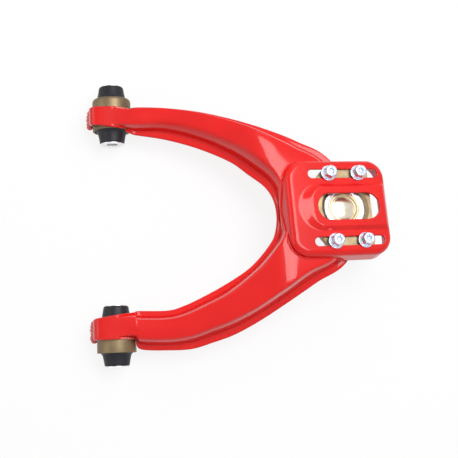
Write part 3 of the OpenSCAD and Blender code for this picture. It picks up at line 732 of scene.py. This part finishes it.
class MakePressing(bpy.types.Operator):
    """Pressed arm: a hat section carried from one bush round the apex to the other, trimmed at the housing"""
    bl_idname = "arm.make_pressing"
    bl_label = "Pressed arm"

    def execute(self, context):
        sizes = context.scene.arm_sizes
        outer, inner = arm_skins(sizes.sheet/MM, sizes.wrap, sizes.dome/MM)
        rows, columns, _ = outer.shape
        outer, inner = outer.reshape(-1, 3), inner.reshape(-1, 3)
        quads = grid_quads(rows, columns)
        box_gap, _ = housing_clearance(outer)
        bush_gap = bush_clearance(outer)
        keep = (box_gap[quads].mean(1) > 0) & (bush_gap[quads].mean(1) > 0)
        quads = quads[keep]
        edges = np.concatenate([quads[:, [k, (k + 1) % 4]] for k in range(4)])
        key = np.sort(edges, 1) @ np.array([len(outer), 1])
        _, first, times = np.unique(key, return_index=True, return_counts=True)
        free = np.unique(edges[first[times == 1]])
        rim = np.zeros(len(outer), bool)
        rim[free] = True
        at_box = rim & (np.abs(box_gap) < 2.5)
        skins = []
        for skin in (outer, inner):
            _, near = housing_clearance(skin)
            skin = np.where(at_box[:, None], near, skin)
            gap = bush_clearance(skin)
            skin = onto_bush(skin, (gap < 0) | (rim & (np.abs(bush_gap) < 1.6) & (gap < 5)))
            skins.append(skin)
        outer, inner = skins
        lip = np.where(at_box | (np.abs(bush_gap) < 1.6), 0.02, 1.1)
        points, quads = sheet_solid(outer, inner, quads, lip)
        make_piece("arm_skin", points, split_thin(quads), finish("red enamel"), "arm", ("arm_pressing",))
        # the seam that the weld follows, as plate coordinates of the trimmed upper skin
        seam = to_plate(outer[at_box])
        context.scene["housing_seam"] = seam[seam[:, 2] > BOX_FOOT + 0.5].ravel().tolist()
        return {"FINISHED"}


# ---------------------------------------------------------------- housing

def looped(quarter, side):
    """A closed loop of four end quarters and two sides, anticlockwise from the middle of the +u end."""
    flip_u, flip_v = np.array([-1, 1]), np.array([1, -1])
    left = quarter[::-1]*flip_u
    return np.concatenate([quarter[:-1], side[:-1], left[:-1], (left[::-1]*flip_v)[:-1],
                           (side[::-1]*flip_v)[:-1], (quarter[::-1]*flip_v)[:-1]])


def box_loop(inset, end, run):
    """The housing's outline drawn in by inset: end points up each half end and corner, run on each side."""
    radius = BOX_CORNER - inset
    core = BOX_HALF - BOX_CORNER
    straight, arc = core[1], radius*math.pi/2
    s = np.linspace(0, straight + arc, end + 1)
    a = np.clip(s - straight, 0, None)/radius
    quarter = np.stack([core[0] + radius*np.cos(a), np.minimum(s, straight) + radius*np.sin(a)], 1)
    side = np.stack([np.linspace(core[0], -core[0], run + 1), np.full(run + 1, core[1] + radius)], 1)
    return looped(quarter, side) - np.array([BOX_BACK, 0])


def window_loop(grow, end, run):
    """The window's obround grown by grow, with the same counts."""
    radius, half = 12.25 + grow, 17.75
    a = np.linspace(0, math.pi/2, end + 1)
    quarter = np.stack([half + radius*np.cos(a), radius*np.sin(a)], 1)
    side = np.stack([np.linspace(half, -half, run + 1), np.full(run + 1, radius)], 1)
    return looped(quarter, side) + np.array([1.5, 0])


def ridge_height(u, v, inset, height):
    """Height of the ridge: a ramp in from its foot, narrow at the sides and wider at the front and rear."""
    du = u + 23.5
    away = np.hypot(du, v)
    behind = du < 0
    reach = np.where(behind, 21.5 - away, 21.5 - np.abs(v)) - inset
    turn = np.where(behind, np.clip(-du/np.maximum(away, 1e-6), 0, 1), 0)
    slope = 3.2 + 7.3*turn**1.5
    side = reach/slope
    front = (40.5 - inset - u)/4.5
    def ramp(t):
        t = np.clip(t, -0.2, 1.2)
        soft = 0.18
        rise = np.where(t < soft, np.maximum(t + soft, 0)**2/(4*soft), t)
        return np.where(t > 1 - soft, 1 - np.maximum(1 + soft - t, 0)**2/(4*soft), rise)
    return height*np.minimum(ramp(side), ramp(front))


class MakeHousing(bpy.types.Operator):
    """Slotted housing: loops blended from the window to the outline and down the walls, with the slots cut"""
    bl_idname = "arm.make_housing"
    bl_label = "Slotted housing"

    def execute(self, context):
        sizes = context.scene.housing_sizes
        t, high, edge = sizes.sheet/MM, sizes.ridge/MM, sizes.edge/MM
        end, run, top_rows, bend_rows, wall_rows = 64, 58, 56, 12, 9
        hole, rim = window_loop(edge, end, run), box_loop(6, end, run)
        k = np.linspace(0, 1, top_rows)[:, None, None]
        top = hole + (rim - hole)*k
        a = np.linspace(0, math.pi/2, bend_rows + 1)[1:]
        h = np.linspace(-6, BOX_FOOT, wall_rows + 1)[1:]
        skins = []
        for thick, dip in ((0.0, 0.0), (t, 2.4)):
            r = 6 - thick
            loops = [np.concatenate([p, np.full((len(p), 1), -thick)], 1) for p in top]
            loops += [np.concatenate([box_loop(thick + r*(1 - math.sin(b)), end, run),
                                      np.full((len(rim), 1), -6 + r*math.cos(b))], 1) for b in a]
            loops += [np.concatenate([box_loop(thick + float(draft(z)), end, run),
                                      np.full((len(rim), 1), z)], 1) for z in h]
            skin = np.array(loops)
            skin[..., 2] += ridge_height(skin[..., 0], skin[..., 1], dip, high)
            skins.append(skin)
        rows, columns, _ = skins[0].shape
        outer, inner = (skin.reshape(-1, 3) for skin in skins)
        quads = grid_quads(rows, columns, close_columns=True)
        slots = [obround_reach(outer[:, 0], outer[:, 1] - side*SLOT_SIDE, SLOT_LENGTH + 2*edge,
                               SLOT_WIDTH + 2*edge) for side in (-1, 1)]
        gap = np.minimum(slots[0][0], slots[1][0])
        keep = gap[quads].mean(1) > 0
        cut = np.zeros(len(outer), bool)
        cut[np.intersect1d(quads[keep], quads[~keep])] = True
        for (_, near), side in zip(slots, (-1, 1)):
            which = cut & (outer[:, 1]*side > 0)
            flat = near + np.array([0, side*SLOT_SIDE])
            outer[which, :2] = flat[which]
            inner[which, :2] = flat[which]
        rim_size = np.where(np.arange(len(outer)) >= (rows - 1)*columns, 0.4, edge)
        points, quads = sheet_solid(from_plate(outer), from_plate(inner), quads[keep], rim_size, 6)
        make_piece("housing_tray", points, [quads], finish("red enamel"), "arm", ("slider_housing",))
        return {"FINISHED"}


class MakeHousingWeld(bpy.types.Operator):
    """Housing weld: a rippled bead along the seam where the housing's walls stand in the pressing"""
    bl_idname = "arm.make_housing_weld"
    bl_label = "Housing weld"

    def execute(self, context):
        seam = np.array(context.scene["housing_seam"]).reshape(-1, 3)
        angle = np.arctan2(seam[:, 1], -(seam[:, 0] + BOX_BACK))
        order = np.argsort(angle)
        angle, seam = angle[order], seam[order]
        low, high = max(angle[0], -2.05), min(angle[-1], 2.05)
        at = np.linspace(low, high, 260)
        level = np.interp(at, angle, seam[:, 2])
        level = np.convolve(np.pad(level, 20, "edge"), np.ones(41)/41, "valid")
        far = np.stack([-np.cos(at)*200 - BOX_BACK, np.sin(at)*200], 1)
        # the outline along each ray: halve the ray until it meets the wall
        lo, hi = np.zeros(len(at)), np.ones(len(at))
        for _ in range(30):
            mid = (lo + hi)/2
            q = np.array([-BOX_BACK, 0]) + (far - np.array([-BOX_BACK, 0]))*mid[:, None]
            d, _ = box_reach(q[:, 0], q[:, 1], draft(level) - 0.25)
            lo, hi = np.where(d < 0, mid, lo), np.where(d < 0, hi, mid)
        q = np.array([-BOX_BACK, 0]) + (far - np.array([-BOX_BACK, 0]))*lo[:, None]
        path = from_plate(np.concatenate([q, (level + 0.1)[:, None]], 1))
        radius = 0.95 + 0.12*waves(path, 16, 5)
        points, blocks = tube(path, radius, 16)
        make_piece("housing_seam_bead", points, blocks, finish("red enamel"), "arm", ("housing_weld",))
        return {"FINISHED"}


class MakeBushWelds(bpy.types.Operator):
    """Bush welds: a lumpy bead across each tongue's end and a thin seam round the shell beside it"""
    bl_idname = "arm.make_bush_welds"
    bl_label = "Bush welds"

    def execute(self, context):
        for name, node, side, row in (("front_bush_bead", "front_bush_weld", 1, 0),
                                      ("rear_bush_bead", "rear_bush_weld", -1, -1)):
            outer, inner = STATIONS[row][1], STATIONS[row][3] + side*TONGUE_RUN_IN
            y = np.linspace(inner - side*0.5, outer + side*0.5, 90)
            turn = math.radians(105 + 4)
            lift = 21.6 + 0.5*waves(np.stack([y, y*0, y*0], 1), 9, 3 + side)
            angle = turn + 0.05*waves(np.stack([y*0, y, y*0], 1), 12, 8 + side)
            path = np.stack([-lift*np.sin(angle), y, lift*np.cos(angle)], 1)
            radius = 3.0 + 0.7*np.abs(np.sin((y - inner)*math.pi/3.6)) + 0.3*waves(path, 7, 11)
            bead = tube(path, radius, 20)
            a = np.radians(np.linspace(-60, 104, 150))
            seam_path = np.stack([-(18.6)*np.sin(a), np.full_like(a, outer), 18.6*np.cos(a)], 1)
            seam = tube(seam_path, 1.15 + 0.12*np.sin(a*38) + 0.15*waves(seam_path, 8, 4), 12, (0, 1, 0))
            points, blocks = joined([bead, seam])
            # the weld enamel paints a pale pink highlight on the beads' crowns
            make_piece(name, points, blocks, finish("red weld enamel"), "arm", (node,))
        return {"FINISHED"}


# ---------------------------------------------------------------- bushes

def along_y(points, middle):
    """Points turned from the third axis onto Y, about a bush's middle."""
    return np.stack([points[:, 0], points[:, 2] + middle, -points[:, 1]], 1)


class MakeBushes(bpy.types.Operator):
    """Bushes: rolled outer shells, waisted rubbers with moulding ribs, and flanged inner sleeves"""
    bl_idname = "arm.make_bushes"
    bl_label = "Bushes"

    def execute(self, context):
        shell = [(16.05, -15.5, 0.5), (18, -15.5, 0.6), (18, 13, 0.8), (17.25, 14.75, 1.2), (15.5, 15.5, 0.8),
                 (15.5, 14.9, 0.2), (16.05, 14.4, 0.3)]
        rubber = [(8.56, -27.3, 0.1), (11.0, -27.3, 0.5), (11.55, -26.4, 0.8), (12.3, -21.5, 2),
                  (13.3, -17.2, 1.2), (14.6, -15.9, 0.8), (15.4, -15.0, 0.5), (15.9, -13.5, 0.4),
                  (15.9, 13.0, 0.4), (15.3, 14.0, 0.4), (14.4, 15.4, 0.6), (13.3, 16.9, 1.2),
                  (12.3, 21.5, 2), (11.55, 26.4, 0.8), (11.0, 27.3, 0.5), (8.56, 27.3, 0.1)]
        sleeve = [(5.25, -28, 0.35), (11.1, -28, 0.15), (11.25, -27.8, 0.1), (11.25, -27.4, 0.1),
                  (8.5, -27.4, 0.1), (8.5, 27.4, 0.1), (10.5, 27.4, 0.1), (10.5, 27.8, 0.1),
                  (10.3, 28, 0.15), (5.25, 28, 0.35)]
        for side, word in ((1, "front"), (-1, "rear")):
            for profile, piece, node, look, body, slot in (
                    (shell, "shell", "shell", "yellow zinc shell", "arm", "shell_plating"),
                    (rubber, "rubber", "rubber", "bush rubber", "arm", "bush_rubber"),
                    (sleeve, "sleeve", "sleeve", "bright sleeve steel", f"{word}_sleeve", "sleeve_steel")):
                points, blocks = turned_piece(profile, 0.4, 144, 5)
                make_piece(f"{word}_{piece}_turned", along_y(points, side*BUSH_Y), blocks, finish(look), body,
                           (f"{word}_bush_{node}",))
        return {"FINISHED"}


# ---------------------------------------------------------------- bolts

def hexagon_radius(angle, across, corner=0.25):
    """Radius of a hexagon with softened corners: the flat's distance over the cosine, less near a corner."""
    a = (angle + math.pi/6) % (math.pi/3) - math.pi/6
    r = across/2/np.cos(a)
    return r - corner*np.clip((np.abs(a)/(math.pi/6) - 0.82)/0.18, 0, 1)**2


class MakeBolts(bpy.types.Operator):
    """Clamp bolts: flanged hexagon heads with a lobed socket, their shanks, and the washers under them"""
    bl_idname = "arm.make_bolts"
    bl_label = "Clamp bolts"

    def execute(self, context):
        sizes = context.scene.hardware_sizes
        across, flange = sizes.hexagon/MM, sizes.flange/MM
        columns = 96
        angle = 2*np.pi*np.arange(columns)/columns
        bolts, washers = [], []
        for x in (-1, 1):
            for y in (-1, 1):
                turn = 0.35 + 0.9*x + 0.5*y
                hexa = hexagon_radius(angle + turn, across)
                top, cap = 9.6, across/2 - 0.15
                lobes = 2.45 + 0.42*np.cos(6*(angle + turn))
                rows = [(2.2, -17.0), (2.9, -16.5), (3.0, -16.0), (3.0, 1.0), (3.0, 1.66),
                        (flange - 0.9, 1.66), (flange - 0.6, 1.72), (flange - 0.5, 1.95),
                        (flange - 0.55, 2.25), (flange - 0.8, 2.42), (hexa + 0.55, 2.75),
                        (hexa + 0.15, 2.95), (hexa, 3.3), (hexa, 6.0),
                        (hexa, top - 0.95*np.clip(hexa - cap, 0, None) - 0.35),
                        (hexa - 0.12, top - 0.9*np.clip(hexa - cap, 0, None) - 0.08),
                        (np.minimum(hexa, cap) - 0.35, top), (lobes + 0.9, top - 0.02),
                        (lobes + 0.25, top - 0.1), (lobes + 0.05, top - 0.35), (lobes, top - 0.7),
                        (lobes, top - 3.0), (lobes*0.55, top - 3.3), (0.4, top - 3.5)]
                points, blocks = spun([r for r, _ in rows], [h for _, h in rows], columns, True, True)
                at = np.array([x*BOLT_ALONG, y*SLOT_SIDE, 0.0])
                bolts.append((from_plate(points + at), blocks))
                profile = [(3.2, 0.02, 0.2), (flange, 0.02, 0.35), (flange, 1.6, 0.45), (3.2, 1.6, 0.2)]
                points, blocks = turned_piece(profile, 0.3, columns, 4)
                washers.append((from_plate(points + at), blocks))
        points, blocks = joined(bolts)
        make_piece("clamp_bolt_heads", points, blocks, finish("blue zinc"), "carrier", ("clamp_bolts",))
        points, blocks = joined(washers)
        make_piece("clamp_washers", points, blocks, finish("blue zinc"), "carrier", ("bolt_washers",))
        return {"FINISHED"}


# ---------------------------------------------------------------- ball joint

class MakeJoint(bpy.types.Operator):
    """Ball joint: a turned body with a polished rim, the plated ring, the domed cap and the rubber boot"""
    bl_idname = "arm.make_joint"
    bl_label = "Ball joint"

    def execute(self, context):
        top = -4.42
        body = [(14.52, top - 0.6, 0.2), (15.7, top - 0.6, 0.3), (16.3, top, 0.35), (19.2, top, 0.5),
                (20, top - 0.8, 0.4), (20, top - 2.8, 0.2), (17, top - 2.8, 0.2), (17, -9.54, 0.1),
                (16.2, -9.54, 0.1), (16.2, -10.88, 0.1), (17, -10.88, 0.1), (17, -13.34, 0.3),
                (15.5, -14.34, 0.4), (15.5, -28.6, 0.4), (12.38, -28.6, 0.4), (11.38, -27.6, 0.3),
                (11.38, -26.8, 0.1), (14.52, -26.8, 0.2)]
        ring = [(12.1, top - 1.2, 0.2), (12.6, top - 0.3, 0.4), (14.0, top - 0.3, 0.5),
                (14.5, top - 1.0, 0.3), (14.5, top - 1.9, 0.1), (12.1, top - 1.9, 0.1)]
        for name, profile, node, look, slot in (
                ("joint_body_turned", body, "joint_housing", "joint rim steel", "joint_steel"),
                ("cap_ring_turned", ring, "cap_ring", "gold zinc", "gold_plating")):
            points, blocks = turned_piece(profile, 0.3, 160, 5)
            make_piece(name, from_plate(points), blocks, finish(look), "carrier", (node,))
        # the cap is a shallow dome: its height falls with the square of the radius, then a bead at its edge
        r = np.concatenate([np.linspace(0.4, 10.8, 22),
                            [11.1, 11.4, 11.65, 11.9, 12.2, 14.4, 14.5, 14.5, 14.4], [12.2, 11.6, 11.2],
                            np.linspace(10.8, 0.4, 12)])
        base = top - 1.94
        h = np.concatenate([base + 0.9 - 1.8*(np.linspace(0.4, 10.8, 22)/10.8)**2,
                            [base - 1.0, base - 1.02, base - 0.85, base - 0.5, base - 0.08, base - 0.03,
                             base - 0.1,
                             base - 0.9, base - 1.0], [base - 1.02, base - 1.55, base - 1.75],
                            base - 0.1 - 1.75*(np.linspace(10.8, 0.4, 12)/10.8)**2])
        points, blocks = spun(r, h, 160, True, True)
        make_piece("joint_cap_dome", from_plate(points), blocks, finish("cap steel"), "carrier",
                   ("joint_cap",))
        self.boot()
        for node, look in (("joint_carrier", "yellow zinc carrier"), ("clamp_nuts", "blue zinc"),
                           ("retaining_ring", "spring steel"), ("preload_spring", "spring steel"),
                           ("upper_race", "seat acetal"), ("lower_race", "seat acetal"),
                           ("ball_stud", "stud steel"),
                           ("boot_clamp_upper", "spring steel"), ("boot_clamp_lower", "spring steel"),
                           ("castle_nut", "gold zinc"), ("cotter_pin", "bright sleeve steel")):
            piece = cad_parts[node]
            piece.data.materials.clear()
            piece.data.materials.append(finish(look))
        return {"FINISHED"}

    def boot(self):
        """The boot's wall: a turned profile of rounded folds from its seat on the body to its neck."""
        top, mouth, neck_top, neck_foot = -14.54, -28.6, -33.2, -36.2
        curve = [(15.55, top, 0.2), (17.15, top, 0.4), (17.15, top - 1.0, 0.3), (16.55, top - 1.4, 0.3),
                 (16.55, top - 2.8, 0.3), (17.15, top - 3.2, 0.6), (19.5, top - 6, 1.6),
                 (20, top - 8.5, 1.6), (17.6, mouth - 2.2, 3), (12, neck_top + 0.6, 2),
                 (8.5, neck_top, 0.8), (7.1, neck_top - 0.4, 0.3), (6.6, neck_top - 1.0, 0.2),
                 (6.6, neck_top - 2.3, 0.2), (7.1, neck_foot + 0.3, 0.3), (7.0, neck_foot, 0.2),
                 (5.5, neck_foot, 0.2), (5.5, neck_top + 0.5, 0.6), (12, neck_top + 1.9, 2),
                 (16.2, mouth - 0.9, 2.4), (18.2, top - 8.4, 1.4), (17.8, top - 6.6, 1.2),
                 (15.55, top - 4, 0.8)]
        points, blocks = turned_piece(curve, 0.4, 128, 5)
        piece = make_piece("dust_boot_moulded", from_plate(points), blocks, finish("boot rubber"), None)
        from_plate(np.array([0, 0, -19.0]))*MM
        from_plate(np.array([0, 0, -33.6]))*MM
        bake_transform(piece)
        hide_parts("dust_boot")


# ---------------------------------------------------------------- stage

def area_light(name, place, aim, size, power, colour=(1, 1, 1)):
    """A softbox at a place, facing a point."""
    light = bpy.data.lights.new(name, "AREA")
    light.shape = "RECTANGLE"
    light.size, light.size_y = size
    light.energy = power
    light.color = colour
    lamp = bpy.data.objects.new(name, light)
    bpy.context.scene.collection.objects.link(lamp)
    away = unit(np.array(place) - np.array(aim))
    side = unit(np.cross([0, 1, 0.01], away))
    turn = Matrix([list(side), list(np.cross(away, side)), list(away)]).transposed()
    lamp.matrix_world = Matrix.Translation(place) @ turn.to_4x4()
    return lamp


def seen_background(graph):
    """1 for rays that see the background directly, in gloss or through glass, and 0 for the rest."""
    direct, gloss, glass = (graph.add("ShaderNodeLightPath", output=f"Is {kind} Ray")
                            for kind in ("Camera", "Glossy", "Transmission"))
    return direct.greatest(gloss).greatest(glass)


class MakeStage(bpy.types.Operator):
    """Stage: a pale floor, softboxes and the camera"""
    bl_idname = "arm.make_stage"
    bl_label = "Stage"

    def execute(self, context):
        scene = context.scene
        sizes = scene.stage_sizes
        scene.view_settings.view_transform = "Standard"
        world = bpy.data.worlds.new("pale room")
        scene.world = world
        world.use_nodes = True
        graph = Graph(world.node_tree)
        seen = seen_background(graph)
        room = graph.add("ShaderNodeBackground", {}, {"Color": rgb(1, 1, 1), "Strength": 0.30})
        plain = graph.add("ShaderNodeBackground", {}, {"Color": rgb(1, 1, 1), "Strength": 1.0})
        mixed = graph.add("ShaderNodeMixShader", {}, {0: seen, 1: room, 2: plain})
        graph.add("ShaderNodeOutputWorld", {}, {"Surface": mixed})
        low = CAD_BOX[0][2]/MM - 0.2
        reach = 1500.0
        corners = np.array([[-reach, -reach], [reach, -reach], [reach, reach], [-reach, reach]])
        floor = np.concatenate([np.insert(corners, 2, level, 1) for level in (low, low - 5)])
        sides = [[0, 1, 2, 3], [7, 6, 5, 4], [0, 4, 5, 1], [1, 5, 6, 2], [2, 6, 7, 3], [3, 7, 4, 0]]
        paper = bpy.data.materials.new("white paper")
        paper.use_nodes = True
        graph = Graph(paper.node_tree)
        seen = seen_background(graph)
        dull = graph.add("ShaderNodeBsdfDiffuse", {}, {"Color": rgb(0.93, 0.93, 0.93)})
        glow = graph.add("ShaderNodeEmission", {}, {"Color": rgb(1, 1, 1), "Strength": 1.0})
        mixed = graph.add("ShaderNodeMixShader", {}, {0: seen*FLOOR_GLOW, 1: dull, 2: glow})
        graph.add("ShaderNodeOutputMaterial", {}, {"Surface": mixed})
        piece = make_piece("stage_floor", floor, [np.array(sides)], paper, None, smooth=False)
        area_light("overhead softbox", (0.42, 0.28, 1.15), (0.12, 0, 0.03), (0.7, 0.7), sizes.key)
        area_light("left strip", (-0.95, 0.15, 0.55), (0.1, 0, 0.03), (0.5, 1.0), 2.5)
        area_light("near strip", (0.15, -1.05, 0.5), (0.12, 0, 0.03), (1.1, 0.5), 0.8)
        area_light("far fill", (0.45, 0.95, 0.75), (0.15, 0, 0.03), (0.6, 0.4), 1.0)
        camera = bpy.data.cameras.new("front of stage")
        camera.lens = sizes.lens
        camera.sensor_width = 36
        camera.clip_start, camera.clip_end = 0.01, 20
        eye = bpy.data.objects.new("front of stage", camera)
        scene.collection.objects.link(eye)
        eye.matrix_world = Matrix.Translation(CAMERA_AT) @ Matrix(CAMERA_TURN).to_4x4()
        scene.camera = eye
        return {"FINISHED"}


# ---------------------------------------------------------------- add-on

class ArmPanel(bpy.types.Panel):
    """Lists the pieces of the control arm and their sizes"""
    bl_idname = "VIEW3D_PT_control_arm"
    bl_label = "Control arm"
    bl_space_type = "VIEW_3D"
    bl_region_type = "UI"
    bl_category = "Control arm"

    def draw(self, context):
        for group in GROUPS:
            box = self.layout.box()
            for key in group.__annotations__:
                box.prop(getattr(context.scene, GROUPS[group]), key)
        for operator in OPERATORS:
            self.layout.operator(operator.bl_idname)


GROUPS = {ArmFinish: "arm_finish", ArmSizes: "arm_sizes", HousingSizes: "housing_sizes",
          HardwareSizes: "hardware_sizes", StageSizes: "stage_sizes"}
OPERATORS = (MakeStage, MakePressing, MakeHousing, MakeHousingWeld, MakeBushWelds, MakeBushes, MakeBolts,
             MakeJoint)


def register():
    for group, name in GROUPS.items():
        bpy.utils.register_class(group)
        setattr(bpy.types.Scene, name, bpy.props.PointerProperty(type=group))
    for item in (*OPERATORS, ArmPanel):
        bpy.utils.register_class(item)


def unregister():
    for item in reversed((*OPERATORS, ArmPanel)):
        bpy.utils.unregister_class(item)
    for group, name in reversed(list(GROUPS.items())):
        delattr(bpy.types.Scene, name)
        bpy.utils.unregister_class(group)


def main():
    register()
    for operator in OPERATORS:
        group, action = operator.bl_idname.split(".")
        getattr(getattr(bpy.ops, group), action)()


if __name__ == "__main__":
    main()
